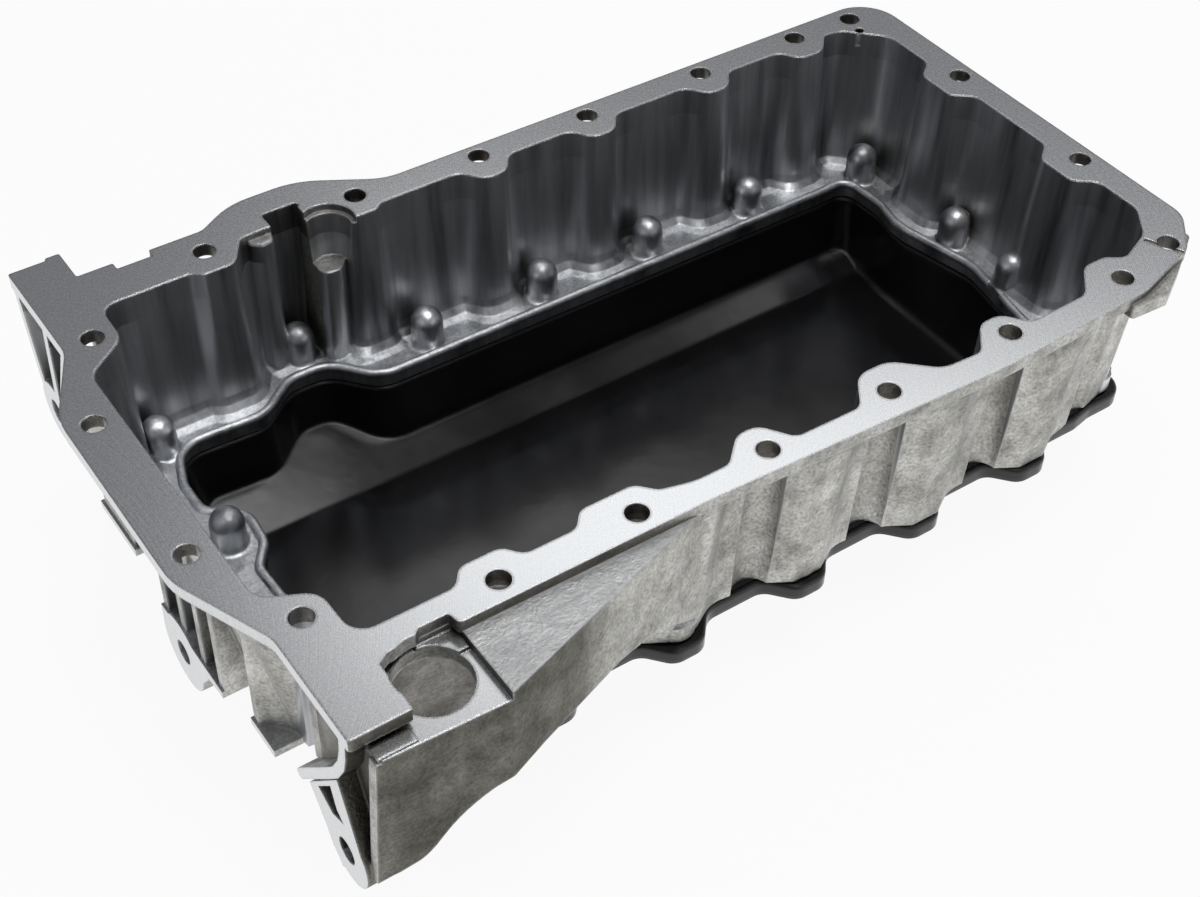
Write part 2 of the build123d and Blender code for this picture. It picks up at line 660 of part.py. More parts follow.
export_step(upper_casting(), "parts/upper_casting.step")
export_step(lower_pan(), "parts/lower_pan.step")
export_step(sealant_bead(), "parts/sealant_bead.step")
for number, place in enumerate(pan_bolts(), start=1):
    export_step(pan_bolt(place), f"parts/pan_bolt_{number:02d}.step")
export_step(drain_nut(), "parts/drain_nut.step")
export_step(drain_washer(), "parts/drain_washer.step")
export_step(drain_plug(), "parts/drain_plug.step")
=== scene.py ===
# %% [markdown]
# # An engine oil pan, dressed for its photograph
# The oil pan closes the bottom of an engine. Its upper half is a deep casting in aluminium with
# corrugated walls, its lower half a shallow bowl pressed from sheet steel and enamelled black.
# The solid shapes come from the CAD model, which is already packed. This script loads them as a
# fixed frame and adds what a CAD model doesn't hold: the skin of each metal, the bolts' finer
# shapes, the camera and the light. Blender works in metres here, and a name that ends in _mm
# holds millimetres, which MM turns into metres.

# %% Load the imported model
import math

import bpy
from mathutils import Matrix, Vector


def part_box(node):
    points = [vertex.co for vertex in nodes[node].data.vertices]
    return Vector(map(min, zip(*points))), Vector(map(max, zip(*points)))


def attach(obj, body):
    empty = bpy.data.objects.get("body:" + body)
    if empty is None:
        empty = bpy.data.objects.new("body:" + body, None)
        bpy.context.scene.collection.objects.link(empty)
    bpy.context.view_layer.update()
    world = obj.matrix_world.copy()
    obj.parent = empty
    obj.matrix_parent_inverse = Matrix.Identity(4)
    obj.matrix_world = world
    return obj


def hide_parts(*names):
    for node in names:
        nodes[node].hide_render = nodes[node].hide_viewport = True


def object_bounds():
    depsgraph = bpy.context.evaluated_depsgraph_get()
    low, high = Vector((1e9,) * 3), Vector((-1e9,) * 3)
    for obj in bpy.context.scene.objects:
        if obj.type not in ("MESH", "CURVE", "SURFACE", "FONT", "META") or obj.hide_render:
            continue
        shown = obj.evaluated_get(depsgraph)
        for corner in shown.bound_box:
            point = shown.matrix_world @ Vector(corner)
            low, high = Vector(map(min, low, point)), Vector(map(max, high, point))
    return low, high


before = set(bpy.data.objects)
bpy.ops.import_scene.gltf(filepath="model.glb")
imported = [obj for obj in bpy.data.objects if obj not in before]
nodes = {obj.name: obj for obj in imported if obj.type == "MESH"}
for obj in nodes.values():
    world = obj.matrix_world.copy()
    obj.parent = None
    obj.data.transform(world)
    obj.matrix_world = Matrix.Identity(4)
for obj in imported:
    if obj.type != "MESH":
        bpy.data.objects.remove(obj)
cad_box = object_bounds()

MM = 0.001


def in_mm(box):
    return [[round(length / MM, 1) for length in corner] for corner in box]


print("loaded", len(nodes), "CAD nodes; box in mm:", in_mm(cad_box))

# %% [markdown]
# ## Camera
# The photograph was taken from in front of the gearbox end, looking down into the pan from about
# 44 degrees above its flange. The camera could be set by eye, but its place, direction and lens
# were solved from the flange's own holes and edges instead, so that the render can be laid over
# the photograph.

# %% The photograph's camera
forward = Vector((0.41612, 0.58690, -0.69455)).normalized()
roughly_up = Vector((0.38140, 0.58073, 0.71923))
right = forward.cross(roughly_up).normalized()
up = right.cross(forward).normalized()

camera_data = bpy.data.cameras.new("photo_camera")
camera_data.sensor_width = 36.0
camera_data.lens = 57.59
camera_data.clip_start = 0.01
camera_data.clip_end = 50.0
camera = bpy.data.objects.new("photo_camera", camera_data)
bpy.context.collection.objects.link(camera)
camera_place = (-0.34319, -0.46735, 0.46888)
turn = Matrix((right, up, -forward)).transposed().to_4x4()
camera.matrix_world = Matrix.Translation(camera_place) @ turn
bpy.context.scene.camera = camera
print("camera looks down by", round(math.degrees(math.asin(-forward.z)), 1), "degrees")

# %% [markdown]
# ## Small helpers
# A colour picked from a swatch is written in sRGB, but Blender's sockets hold linear light, so
# `linear` turns it. `add` makes a shader or geometry node, sets its sockets and settings, and
# links what it is given. A node stands for its own first output, which keeps each tree below
# short enough to read as a recipe. `in_box` marks a place on the object, by its corners.
#
# A socket is called by its label, or by its number where labels repeat. A Map Range reads its
# value at 0, the range it comes from at 1 and 2, and the range it goes to at 3 and 4. A Mix has
# its share at 0, and what it mixes at 2 and 3 for numbers or at 6 and 7 for colours.

# %% Colour and node helpers
MATH, VECTOR, RAMP = "ShaderNodeMath", "ShaderNodeVectorMath", "ShaderNodeMapRange"
MIX, NOISE, BUMP = "ShaderNodeMix", "ShaderNodeTexNoise", "ShaderNodeBump"


def linear(hex_colour):
    channels = [int(hex_colour[i:i + 2], 16) / 255 for i in (1, 3, 5)]
    turned = [c / 12.92 if c <= 0.04045 else ((c + 0.055) / 1.055) ** 2.4 for c in channels]
    return (*turned, 1.0)


def add(tree, kind, sockets=None, **settings):
    node = tree.nodes.new(kind)
    for name, value in settings.items():
        setattr(node, name, value)
    for name, value in (sockets or {}).items():
        source = value.outputs[0] if isinstance(value, bpy.types.Node) else value
        if isinstance(source, bpy.types.NodeSocket):
            tree.links.new(source, node.inputs[name])
        else:
            node.inputs[name].default_value = source
    return node


def new_material(name):
    material = bpy.data.materials.new(name)
    material.use_nodes = True
    material.node_tree.nodes.clear()
    return material, material.node_tree


def in_box(tree, point, low, high):
    """A node that gives one where the point lies between two corners, and nought elsewhere."""
    centre = [(a + b) / 2 for a, b in zip(low, high)]
    half = [(b - a) / 2 for a, b in zip(low, high)]
    offset = add(tree, VECTOR, {0: point, 1: centre}, operation="SUBTRACT")
    away = add(tree, VECTOR, {0: offset}, operation="ABSOLUTE")
    spare = add(tree, VECTOR, {0: half, 1: away}, operation="SUBTRACT")
    part = add(tree, "ShaderNodeSeparateXYZ", {0: spare}).outputs
    least = add(tree, MATH, {0: part["X"], 1: part["Y"]}, operation="MINIMUM")
    least_of_all = add(tree, MATH, {0: least, 1: part["Z"]}, operation="MINIMUM")
    return add(tree, MATH, {0: least_of_all, 1: 0.0}, operation="GREATER_THAN")


print("mid grey #808080 is", round(linear("#808080")[0], 3), "in linear light")

# %% [markdown]
# ## Die-cast aluminium, with milled faces
# The upper half is one casting, so it is one material that changes over its surface. The die
# leaves a thin skin, glossy and streaked down the walls where the metal slid out of the mould,
# and duller and mottled outside. The block face and the gearbox lugs are milled afterwards, which
# cuts through that skin to bright metal with fine arcs from the cutter. These places could be
# painted by hand, but masks made from the height and the direction of the surface tell them apart
# exactly. The first one finds the milled faces: the top, the sunk pad of the starter and the
# gearbox end. All heights are measured down from the block face.

# %% Milled faces
level, block_face_mm, gearbox_face_mm = 0.9, -0.3, -198.3
casting, tree = new_material("die_cast_aluminium")
place = add(tree, "ShaderNodeTexCoord").outputs["Object"]
spot = add(tree, VECTOR, {0: place, "Scale": 1 / MM}, operation="SCALE")
axis = add(tree, "ShaderNodeSeparateXYZ", {0: spot}).outputs
facing = add(tree, "ShaderNodeNewGeometry").outputs["True Normal"]
face = add(tree, "ShaderNodeSeparateXYZ", {0: facing}).outputs

upward = add(tree, MATH, {0: face["Z"], 1: level}, operation="GREATER_THAN")
at_top = add(tree, MATH, {0: axis["Z"], 1: block_face_mm}, operation="GREATER_THAN")
starter_pad = in_box(tree, spot, (-200.0, -150.0, -9.5), (-144.5, -108.0, -6.0))
top_or_pad = add(tree, MATH, {0: at_top, 1: starter_pad}, operation="MAXIMUM")
block_face = add(tree, MATH, {0: upward, 1: top_or_pad}, operation="MULTIPLY")
endward = add(tree, MATH, {0: face["X"], 1: -level}, operation="LESS_THAN")
at_end = add(tree, MATH, {0: axis["X"], 1: gearbox_face_mm}, operation="LESS_THAN")
end_face = add(tree, MATH, {0: endward, 1: at_end}, operation="MULTIPLY")
milled = add(tree, MATH, {0: block_face, 1: end_face}, operation="MAXIMUM")

# %% [markdown]
# A wall is inside when it faces the middle. Which wall is meant is clear from the place: it is
# weighed by the seventh power of its distance from the middle, so that the nearest wall decides.
# The domes and the ledge stand free of the walls, so everything well within them counts too.

# %% Inside walls and the ledge
half_length_mm, half_width_mm = 205.0, 104.0
within_x_mm, within_y_mm = 188.0, 95.0
ledge_mm, ledge_level, wall_power = -60.0, 0.75, 7.0
pull, middle = 0.0, 1.0
for name, half, within in (("X", half_length_mm, within_x_mm), ("Y", half_width_mm, within_y_mm)):
    share = add(tree, MATH, {0: axis[name], 1: half}, operation="DIVIDE")
    weight = add(tree, MATH, {0: share, 1: wall_power}, operation="POWER")
    pull = add(tree, MATH, {0: weight, 1: face[name], 2: pull}, operation="MULTIPLY_ADD")
    away = add(tree, MATH, {0: axis[name]}, operation="ABSOLUTE")
    near = add(tree, MATH, {0: away, 1: within}, operation="LESS_THAN")
    middle = add(tree, MATH, {0: near, 1: middle}, operation="MULTIPLY")
inward = add(tree, MATH, {0: pull, 1: 0.0}, operation="LESS_THAN")
inside = add(tree, MATH, {0: inward, 1: middle}, operation="MAXIMUM")
outdoors = add(tree, MATH, {0: 1.0, 1: inside}, operation="SUBTRACT")
low_down = add(tree, MATH, {0: axis["Z"], 1: ledge_mm}, operation="LESS_THAN")
ledge_up = add(tree, MATH, {0: face["Z"], 1: ledge_level}, operation="GREATER_THAN")
ledge = add(tree, MATH, {0: low_down, 1: ledge_up}, operation="MULTIPLY")
print("casting masks:", len(tree.nodes), "nodes")

# %% [markdown]
# The patterns come next, each with a real size. They could be pictures wrapped round the part, but
# noise has no seams and can be scaled in millimetres. Flow streaks are about a centimetre wide and
# run the height of the wall, so the noise is squeezed in Z. Mottling from the release spray is as
# wide as a thumb. The sandy skin of a cast wall has a grain under a millimetre, which is too fine
# to show from here, so it is drawn a little coarser.

# %% Streaks, mottling and grain
streak_mm, streak_run_mm, mottle_mm, grain_mm = 12.0, 150.0, 16.0, 1.3
stretch = add(tree, VECTOR, {0: spot, 1: (1.0, 1.0, streak_mm / streak_run_mm)},
              operation="MULTIPLY")
noise, light = {}, {}
for name, vector, size_mm, detail, rough, dark, pale in (
    ("streaks", stretch, streak_mm, 4.0, 0.5, 0.32, 0.68),
    ("mottle", spot, mottle_mm, 6.0, 0.68, 0.34, 0.66),
    ("grain", spot, grain_mm, 3.0, 0.6, 0.30, 0.62),
):
    noise[name] = add(tree, NOISE, {"Vector": vector, "Scale": 1 / size_mm, "Detail": detail,
                                    "Roughness": rough})
    light[name] = add(tree, RAMP, {0: noise[name], 1: dark, 2: pale, 3: 0.0, 4: 1.0})
print("patterns:", sorted(noise))

# %% [markdown]
# Recesses are painted darker and brown-grey: this is painted shade. The Ambient Occlusion node
# finds them from the shape alone, so inner corners come out brown-grey on their own. A bolt hole
# in the flange is less closed in than a corner, so it gets a gentler limit, and the hollow of the
# starter pocket is marked by its place.

# %% Painted shade in the recesses
recess_mm, steep, bores_end_mm, pocket_share = 16.0, 0.3, -12.0, 0.62
closed_in = add(tree, "ShaderNodeAmbientOcclusion", {"Distance": recess_mm * MM}, samples=3,
                only_local=True).outputs["AO"]
# painted shade: the more closed in a corner is, the darker it is painted
corner_shade = add(tree, RAMP, {0: closed_in, 1: 0.40, 2: 0.12, 3: 0.0, 4: 0.9})
upright = add(tree, MATH, {0: face["Z"], 1: 0.0, 2: steep}, operation="COMPARE")
in_flange = add(tree, MATH, {0: axis["Z"], 1: bores_end_mm}, operation="GREATER_THAN")
bore_wall = add(tree, MATH, {0: upright, 1: in_flange}, operation="MULTIPLY")
# painted shade down the walls of the bolt holes
bore_depth = add(tree, RAMP, {0: closed_in, 1: 0.92, 2: 0.70, 3: 0.0, 4: 0.85})
bore_shade = add(tree, MATH, {0: bore_wall, 1: bore_depth}, operation="MULTIPLY")
# painted shade in the hollow of the starter pocket
pocket_front_part = in_box(tree, spot, (-192.0, -138.5, -80.0), (-146.0, -95.5, -13.2))
pocket_back_part = in_box(tree, spot, (-146.0, -126.0, -80.0), (-100.0, -95.5, -13.2))
pocket_hollow = add(tree, MATH, {0: pocket_front_part, 1: pocket_back_part}, operation="MAXIMUM")
pocket_shade = add(tree, MATH, {0: pocket_hollow, 1: pocket_share}, operation="MULTIPLY")
some_shade = add(tree, MATH, {0: corner_shade, 1: bore_shade}, operation="MAXIMUM")
recess_shade = add(tree, MATH, {0: some_shade, 1: pocket_shade}, operation="MAXIMUM")

# %% [markdown]
# Outside, the hollows between the columns are painted darker, varied by the mottling: painted
# shade. The flat top of the gusset, where it faces up, is painted paler than the walls: painted
# light. Both are shares that the colours use.

# %% Painted shade between the columns, and painted light on the gusset's top
gusset_light = 0.6
# painted shade: the hollows between the outer columns are darkened
hollow_outside = add(tree, RAMP, {0: closed_in, 1: 0.85, 2: 0.40, 3: 0.0, 4: 0.7})
shade_between_columns = add(tree, MATH, {0: hollow_outside, 1: light["mottle"]}, operation="MULTIPLY")
# painted light: the gusset's up-facing top is made paler
gusset_top = in_box(tree, spot, (-144.5, -150.0, -6.0), (-40.0, -100.0, -3.0))
gusset_up = add(tree, MATH, {0: gusset_top, 1: upward}, operation="MULTIPLY")
gusset_light_share = add(tree, MATH, {0: gusset_up, 1: gusset_light}, operation="MULTIPLY")

# %% [markdown]
# The starter pocket's front is the roughest part of the casting, dark and sandy, since that side
# of the mould is a loose slide. It faces forward, beyond the long wall and beside the gearbox end,
# where the sand fades in over 16 mm.

# %% The sandy front of the starter pocket
forward_level, beyond_wall_mm, sand_ends_mm, sand_full_mm = -0.6, -118.0, -96.0, -112.0
pocket_along = add(tree, RAMP, {0: axis["X"], 1: sand_ends_mm, 2: sand_full_mm, 3: 0.0, 4: 1.0})
pocket_facing = add(tree, MATH, {0: face["Y"], 1: forward_level}, operation="LESS_THAN")
beyond_wall = add(tree, MATH, {0: axis["Y"], 1: beyond_wall_mm}, operation="LESS_THAN")
pocket_front = add(tree, MATH, {0: pocket_facing, 1: beyond_wall}, operation="MULTIPLY")
sandy = add(tree, MATH, {0: pocket_along, 1: pocket_front}, operation="MULTIPLY")

# %% [markdown]
# A face mill leaves arcs: the cutter, wider than the pan, moves along it while it turns. The
# distance along X, less the bow of a circle of the cutter's radius, is constant on each arc, and
# a one-dimensional noise of it draws them, unevenly as real feed marks are. Real marks are some
# 0.3 mm apart, too fine to show from here, so these are drawn 0.8 mm apart.

# %% Arcs from the face mill
cutter_radius_mm, cutter_off_centre_mm, feed_mm = 160.0, 20.0, 0.8
slide = add(tree, MATH, {0: axis["Y"], 1: cutter_off_centre_mm}, operation="ADD")
square = add(tree, MATH, {0: slide, 1: 2.0}, operation="POWER")
left_over = add(tree, MATH, {0: cutter_radius_mm ** 2, 1: square}, operation="SUBTRACT")
bow = add(tree, MATH, {0: left_over}, operation="SQRT")
along = add(tree, MATH, {0: axis["X"], 1: bow}, operation="SUBTRACT")
arcs = add(tree, NOISE, {"W": along, "Scale": 1 / feed_mm, "Detail": 3.0, "Roughness": 0.7},
           noise_dimensions="1D")
arc_light = add(tree, RAMP, {0: arcs, 1: 0.3, 2: 0.7, 3: 0.0, 4: 1.0})
scuffed = add(tree, MATH, {0: arc_light, 1: light["grain"]}, operation="ADD")
light["cut"] = add(tree, MATH, {0: scuffed, 1: 0.5}, operation="MULTIPLY")
print("mill arcs every", feed_mm, "mm on a radius of", cutter_radius_mm, "mm")

# %% [markdown]
# Edges of a casting are never knife-sharp. They could be rounded in the mesh, at the cost of many
# thin faces. The Bevel node rounds only the shading over a millimetre, and where it turns the
# surface, the colour is made paler: partly wear through the skin to brighter metal, partly a
# painted highlight along the rounded edge.

# %% Rounded edges, worn and with a painted highlight
edge_mm = 1.3
rounding = add(tree, "ShaderNodeBevel", {"Radius": edge_mm * MM}, samples=3)
agree = add(tree, VECTOR, {0: rounding, 1: facing}, operation="DOT_PRODUCT").outputs["Value"]
# paler edges: partly wear, partly a painted highlight
edge = add(tree, RAMP, {0: agree, 1: 0.99, 2: 0.86, 3: 0.0, 4: 0.7})

# %% [markdown]
# The masks now mix the colours. A metal's base colour is how much of each colour it mirrors. The
# inside walls get a darker colour than the outside, which is painted shade of the cavity, with the
# flow streaks running through it. Each row of the recipe names its share and the two colours
# between which it mixes: a swatch, or an earlier row. MULTIPLY lays the second over the first as a
# darker film.

# %% Colour of the casting
recipe = (
    # painted shade: the inside walls are darker than the outside, streaked by the flow marks
    ("inner", light["streaks"], "#6C6E72", "#E6E8EB", "MIX"),
    ("outer", light["mottle"], "#B2B1AC", "#EBEAE6", "MIX"),
    ("speckle", light["grain"], "#C6C6C5", "#FFFFFF", "MIX"),
    ("run_marks", light["streaks"], "#E2E2E1", "#FFFFFF", "MIX"),
    ("outer_speckled", 1.0, "outer", "speckle", "MULTIPLY"),
    ("outer_skin", 1.0, "outer_speckled", "run_marks", "MULTIPLY"),
    # painted shade in the hollows between the outer columns
    ("smudged", shade_between_columns, "outer_skin", "#5E5B54", "MIX"),
    # painted light: the up-facing top of the gusset is paler
    ("gusset_skin", gusset_light_share, "smudged", "#CFD2D4", "MIX"),
    ("sandy_skin", sandy, "gusset_skin", "#94938C", "MULTIPLY"),
    ("shelf", light["grain"], "#B0B2B5", "#D6D8DA", "MIX"),
    ("skin", inside, "sandy_skin", "inner", "MIX"),
    ("skin_and_shelf", ledge, "skin", "shelf", "MIX"),
    # partly wear, partly a painted highlight on the rounded edges
    ("worn", edge, "skin_and_shelf", "#DADBDC", "MIX"),
    ("bright", light["cut"], "#C9CBCD", "#DDDFE0", "MIX"),
    ("finished", milled, "worn", "bright", "MIX"),
    # painted shade, brown-grey, in the recesses, bolt holes and starter pocket
    ("grimy", recess_shade, "finished", "#3A342A", "MIX"),
)
colour = {}
for name, share, first, second, kind in recipe:
    ends = [linear(end) if end.startswith("#") else colour[end] for end in (first, second)]
    colour[name] = add(tree, MIX, {0: share, 6: ends[0], 7: ends[1]}, data_type="RGBA",
                       blend_type=kind).outputs[2]
print("the casting's colour takes", len(recipe), "steps")

# %% [markdown]
# The streaks and the mottling also change how glossy the skin is. Its relief comes from the
# streaks and the grain, and the grain raises the outside ten times as much as the inside. Milled
# metal is smoother, with arcs only a few thousandths of a millimetre deep. Relief could be cut
# into the mesh, but nothing this shallow changes an outline, so a bump in the shading is enough.

# %% Roughness and relief of the casting
cast_depth_mm, milled_depth_mm = 0.75, 0.006
inner_rough = add(tree, RAMP, {0: noise["streaks"], 1: 0.3, 2: 0.7, 3: 0.50, 4: 0.34})
outer_rough = add(tree, RAMP, {0: noise["mottle"], 1: 0.3, 2: 0.7, 3: 0.62, 4: 0.42})
cast_rough = add(tree, MIX, {0: inside, 2: outer_rough, 3: inner_rough})
milled_rough = add(tree, RAMP, {0: light["cut"], 1: 0.0, 2: 1.0, 3: 0.24, 4: 0.29})
casting_rough = add(tree, MIX, {0: milled, 2: cast_rough, 3: milled_rough})
grain_share = add(tree, RAMP, {0: outdoors, 1: 0.0, 2: 1.0, 3: 0.04, 4: 0.42})
cast_relief = add(tree, MATH, {0: noise["grain"], 1: grain_share, 2: noise["streaks"]},
                  operation="MULTIPLY_ADD")
relief = add(tree, MIX, {0: milled, 2: cast_relief, 3: light["cut"]})
depth = add(tree, MIX, {0: milled, 2: cast_depth_mm * MM, 3: milled_depth_mm * MM})
bump = add(tree, BUMP, {"Height": relief, "Distance": depth, "Strength": 1.0,
                        "Normal": rounding})
casting_skin = add(tree, "ShaderNodeBsdfPrincipled", {
    "Base Color": colour["grimy"], "Metallic": 1.0, "Roughness": casting_rough, "Normal": bump})
add(tree, "ShaderNodeOutputMaterial", {"Surface": casting_skin})
print("die_cast_aluminium:", len(tree.nodes), "nodes")

# %% [markdown]
# ## Black enamel on pressed steel
# The bowl is drawn from sheet and dipped in a black stoving enamel. It could be a plain black, but
# this enamel is a smooth dielectric over a dark colour, so it mirrors the casting above it. A
# slight orange peel, a few millimetres across, keeps those reflections from being perfect, and a
# thin film of dust greys it a little.

# %% Black stoving enamel
peel_mm, peel_depth_mm, haze_mm, press_edge_mm = 7.0, 0.03, 35.0, 2.5
enamel, tree = new_material("black_stoving_enamel")
place = add(tree, "ShaderNodeTexCoord").outputs["Object"]
spot = add(tree, VECTOR, {0: place, "Scale": 1 / MM}, operation="SCALE")
peel = add(tree, NOISE, {"Vector": spot, "Scale": 1 / peel_mm, "Detail": 2.0, "Roughness": 0.5})
haze = add(tree, NOISE, {"Vector": spot, "Scale": 1 / haze_mm, "Detail": 5.0, "Roughness": 0.6})
tone = add(tree, MIX, {0: haze, 6: linear("#09090A"), 7: linear("#161618")}, data_type="RGBA")
gloss = add(tree, RAMP, {0: haze, 1: 0.3, 2: 0.7, 3: 0.13, 4: 0.22})
rounding = add(tree, "ShaderNodeBevel", {"Radius": press_edge_mm * MM}, samples=4)
wave = add(tree, BUMP, {"Height": peel, "Distance": peel_depth_mm * MM, "Strength": 1.0,
                        "Normal": rounding})
enamel_skin = add(tree, "ShaderNodeBsdfPrincipled", {
    "Base Color": tone.outputs[2], "Roughness": gloss, "IOR": 1.52, "Normal": wave})
add(tree, "ShaderNodeOutputMaterial", {"Surface": enamel_skin})
print("black_stoving_enamel:", len(tree.nodes), "nodes")

# %% [markdown]
# ## Sealant, plated steel and the drain's small pieces
# The bead between the halves is silicone, dull and black, and slightly lumpy where it was squeezed
# out. Relief in the shader is enough for that, because only its edge can be seen.

# %% Black silicone sealant
lump_mm, lump_depth_mm = 2.5, 0.2
sealant, tree = new_material("black_silicone_sealant")
place = add(tree, "ShaderNodeTexCoord").outputs["Object"]
lumps = add(tree, NOISE, {"Vector": place, "Scale": 1 / (lump_mm * MM), "Detail": 2.0})
tone = add(tree, MIX, {0: lumps, 6: linear("#18181A"), 7: linear("#2A2A2C")}, data_type="RGBA")
wave = add(tree, BUMP, {"Height": lumps, "Distance": lump_depth_mm * MM})
sealant_skin = add(tree, "ShaderNodeBsdfPrincipled", {
    "Base Color": tone.outputs[2], "Roughness": 0.5, "IOR": 1.43, "Normal": wave})
add(tree, "ShaderNodeOutputMaterial", {"Surface": sealant_skin})
print("black_silicone_sealant:", len(tree.nodes), "nodes")

# %% [markdown]
# The bolts and the plug are steel with a zinc coat: slightly warm, satin, with fine scratches from
# the plating drum. The weld nut is bare steel under a trace of enamel, and the crush washer is
# soft aluminium. The three differ in colour and gloss alone, so one loop makes them.

# %% Plated and bare small metal
speck_mm, speck_depth_mm, cloud_mm = 1.2, 0.04, 6.0
small_metals = {}
for name, low, high, dull, shine in (
    ("zinc_plated_steel", "#8F8D86", "#B5B3AA", 0.42, 0.28),
    ("bare_weld_nut_steel", "#4A4A4B", "#6C6C6D", 0.50, 0.36),
    ("soft_aluminium_washer", "#B4B5B7", "#CCCDCF", 0.44, 0.30),
):
    metal, tree = new_material(name)
    place = add(tree, "ShaderNodeTexCoord").outputs["Object"]
    specks = add(tree, NOISE, {"Vector": place, "Scale": 1 / (speck_mm * MM), "Detail": 4.0,
                               "Roughness": 0.65})
    clouds = add(tree, NOISE, {"Vector": place, "Scale": 1 / (cloud_mm * MM), "Detail": 3.0})
    tone = add(tree, MIX, {0: clouds, 6: linear(low), 7: linear(high)}, data_type="RGBA")
    satin = add(tree, RAMP, {0: specks, 1: 0.3, 2: 0.7, 3: shine, 4: dull})
    scuffs = add(tree, BUMP, {"Height": specks, "Distance": speck_depth_mm * MM})
    metal_skin = add(tree, "ShaderNodeBsdfPrincipled", {
        "Base Color": tone.outputs[2], "Metallic": 1.0, "Roughness": satin, "Normal": scuffs})
    add(tree, "ShaderNodeOutputMaterial", {"Surface": metal_skin})
    small_metals[name] = metal
zinc = small_metals["zinc_plated_steel"]
print("small metals:", sorted(small_metals))

# %% [markdown]
# ## Skins on the CAD pieces
# Each solid of the CAD model is a node with a name of its own, so a table can give it its
# material. What the table doesn't name is a bolt or the drain plug, and those are zinc-plated.

# %% Give every CAD node its skin
skins = {"upper_casting": casting, "lower_pan": enamel, "sealant_bead": sealant,
         "drain_nut": small_metals["bare_weld_nut_steel"],
         "drain_washer": small_metals["soft_aluminium_washer"]}
for name, node in nodes.items():
    node.data.materials.clear()
    node.data.materials.append(skins.get(name, zinc))
print("skinned", len(nodes), "nodes")

# %% [markdown]
# ## Pieces that Geometry Nodes repeat or sweep
# Two kinds of detail suit Geometry Nodes better than mesh code. A set of equal bolts is one mesh
# put on many points, and a rounded lip along an edge is one section swept along a path. Each tree
# is built here, takes named inputs, and ends in plain geometry. The function below runs a tree
# once, keeps the evaluated mesh as an ordinary object and lets it ride the part's root body.

# %% A function that grows a piece from a tree
def new_geometry_tree(name, inputs):
    group = bpy.data.node_groups.new(name, "GeometryNodeTree")
    group.interface.new_socket("Geometry", in_out="OUTPUT", socket_type="NodeSocketGeometry")
    for label, kind in inputs:
        group.interface.new_socket(label, in_out="INPUT", socket_type=kind)
    return group, add(group, "NodeGroupInput").outputs


def grow(name, group, start, values, replaced=()):
    maker = bpy.data.objects.new(name + "_maker", start)
    bpy.context.collection.objects.link(maker)
    modifier = maker.modifiers.new("grow", "NODES")
    modifier.node_group = group
    for item in group.interface.items_tree:
        if item.in_out == "INPUT" and item.name in values:
            modifier[item.identifier] = values[item.name]
    graph = bpy.context.evaluated_depsgraph_get()
    mesh = bpy.data.meshes.new_from_object(maker.evaluated_get(graph), depsgraph=graph)
    bpy.data.objects.remove(maker)
    piece = bpy.data.objects.new(name, mesh)
    bpy.context.collection.objects.link(piece)
    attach(piece, "root")
    if replaced:
        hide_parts(*replaced)
    print(name, "has", len(mesh.polygons), "faces")
    return piece


# %% [markdown]
# ### The pan bolts
# Eighteen M6 bolts with a hexagon and a pressed-on flange hold the bowl from below. The mesh is a
# stack of rings of 48 points. A hexagon's ring is the smaller of the hexagon itself and a circle,
# and a circle that shrinks towards the end gives the rounded corners that a forged head has. Each
# bolt stops at its own angle, so the tree turns every copy by a random amount with a fixed seed.

# %% One bolt as a mesh
def ring_stack(name, rings, count=48):
    """A closed mesh from rings of height, radius and width over flats, in millimetres."""
    vertices, faces = [], []
    for height, circle, flats in rings:
        for step in range(count):
            angle = 2 * math.pi * step / count
            off_flat = (angle + math.pi / 6) % (math.pi / 3) - math.pi / 6
            reach = min(circle, flats / 2 / math.cos(off_flat)) * MM
            vertices.append((reach * math.cos(angle), reach * math.sin(angle), height * MM))
    for level_number in range(len(rings) - 1):
        for step in range(count):
            a = level_number * count + step
            b = level_number * count + (step + 1) % count
            faces.append((a, b, b + count, a + count))
    faces.append(tuple(reversed(range(count))))
    faces.append(tuple(range(len(vertices) - count, len(vertices))))
    mesh = bpy.data.meshes.new(name)
    mesh.from_pydata(vertices, [], faces)
    return mesh


bolt_names = ["pan_bolt_%02d" % number for number in range(1, 19)]
low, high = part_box(bolt_names[0])
head_mm, flange_mm, shank_mm, chamfer_mm = 6.0, 1.4, 3.0, 0.8
flats_mm, corner_mm, flange_radius_mm = 10.0, 5.6, 6.0
round_mm = 99.0  # flats as wide as this leave the ring a circle
tip_mm = (high.z - low.z) / MM
collar_mm = head_mm - flange_mm
bolt_rings = [
    (0.5, 2.6, round_mm), (0.5, 3.4, round_mm), (0.0, 3.9, round_mm), (0.0, 4.75, flats_mm),
    (0.25, 5.1, flats_mm), (0.8, corner_mm, flats_mm), (collar_mm - 0.3, corner_mm, flats_mm),
    (collar_mm, 5.85, round_mm), (collar_mm + 0.35, flange_radius_mm, round_mm),
    (head_mm, flange_radius_mm, round_mm), (head_mm, shank_mm, round_mm),
    (tip_mm - chamfer_mm, shank_mm, round_mm), (tip_mm, shank_mm - chamfer_mm, round_mm),
]
bolt = bpy.data.objects.new("bolt_pattern", ring_stack("bolt_pattern", bolt_rings))
bolt_points = bpy.data.meshes.new("bolt_points")
corners = [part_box(name) for name in bolt_names]
bolt_points.from_pydata([((a.x + b.x) / 2, (a.y + b.y) / 2, a.z) for a, b in corners], [], [])
print("bolt:", len(bolt.data.vertices), "points, on", len(bolt_points.vertices), "places")

# %% [markdown]
# The bolts could be eighteen objects, but then each change is made eighteen times. The tree keeps
# them one piece. It puts the bolt on each place that the CAD bolts give, turns it, makes the
# copies real, because the export drops instances, and sets the plated steel.

